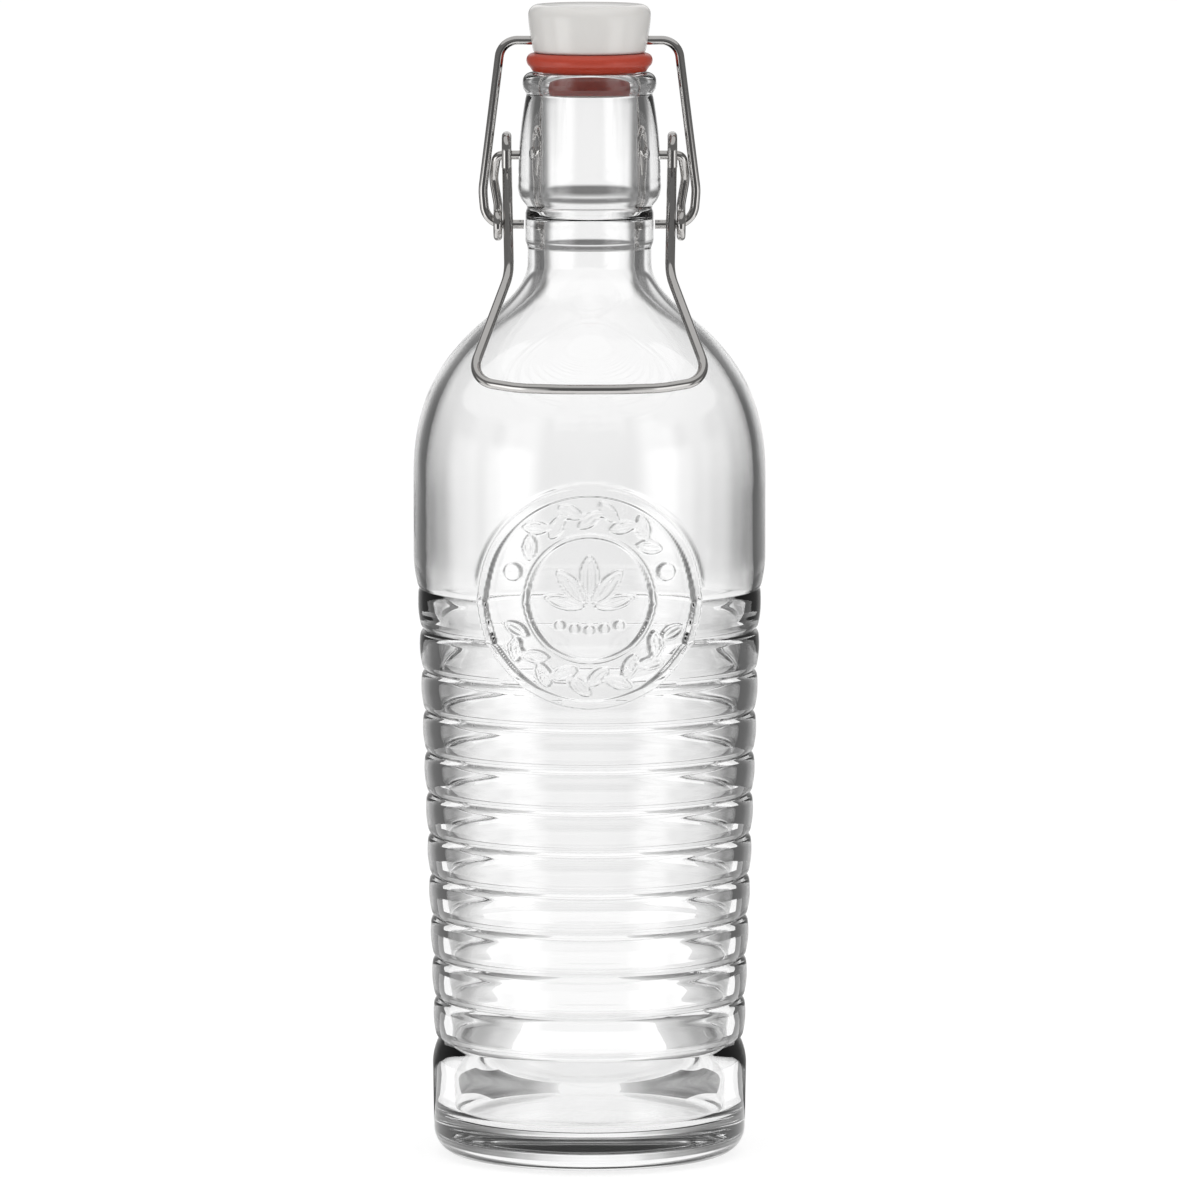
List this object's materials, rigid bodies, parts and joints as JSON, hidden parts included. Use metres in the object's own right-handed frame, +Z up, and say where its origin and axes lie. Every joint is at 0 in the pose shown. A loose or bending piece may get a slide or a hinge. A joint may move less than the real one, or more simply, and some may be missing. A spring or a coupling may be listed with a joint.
{
  "type": "swing top bottle",
  "caption": "Clear glass bottle with horizontal ribs, a round front medallion and a wire swing top closure with a stopper and rubber gasket.",
  "frame": {"origin": "centre of the resting face, under the bottle's axis", "axes": "+Z up along the bottle's axis, -Y towards the front with the medallion and handle, +X to the right seen from the front"},
  "size_m": [0.093, 0.093, 0.3049],
  "materials": {
    "glass": "clear soda-lime glass, fire-polished",
    "white_stopper": "glossy white",
    "rubber": "smooth orange-red rubber",
    "steel_wire": "bright drawn stainless wire"
  },
  "bodies": {
    "bottle": {"glass_bottle": "glass"},
    "lever": {"handle_wire": "steel_wire", "left_crank": "steel_wire", "right_crank": "steel_wire"},
    "yoke": {"yoke_wire": "steel_wire"},
    "stopper_body": {"stopper": "white_stopper", "gasket": "rubber"}
  },
  "joints": [
    {"name": "lever_hinge", "type": "hinge", "parent": "bottle", "child": "lever", "pos_m": [0, 0, 0.2648], "axis": [-1, 0, 0], "range_deg": [0, 150]},
    {"name": "yoke_hinge", "type": "hinge", "parent": "lever", "child": "yoke", "pos_m": [0, 0, 0.24655], "axis": [-1, 0, 0], "range_deg": [-96, 0]},
    {"name": "stopper_hinge", "type": "hinge", "parent": "yoke", "child": "stopper_body", "pos_m": [0, 0, 0.295], "axis": [-1, 0, 0], "range_deg": [-54, 0]}
  ],
  "couplings": [
    {"joint": "yoke_hinge", "follows": "lever_hinge", "ratio": -0.64},
    {"joint": "stopper_hinge", "follows": "lever_hinge", "ratio": -0.36}
  ]
}
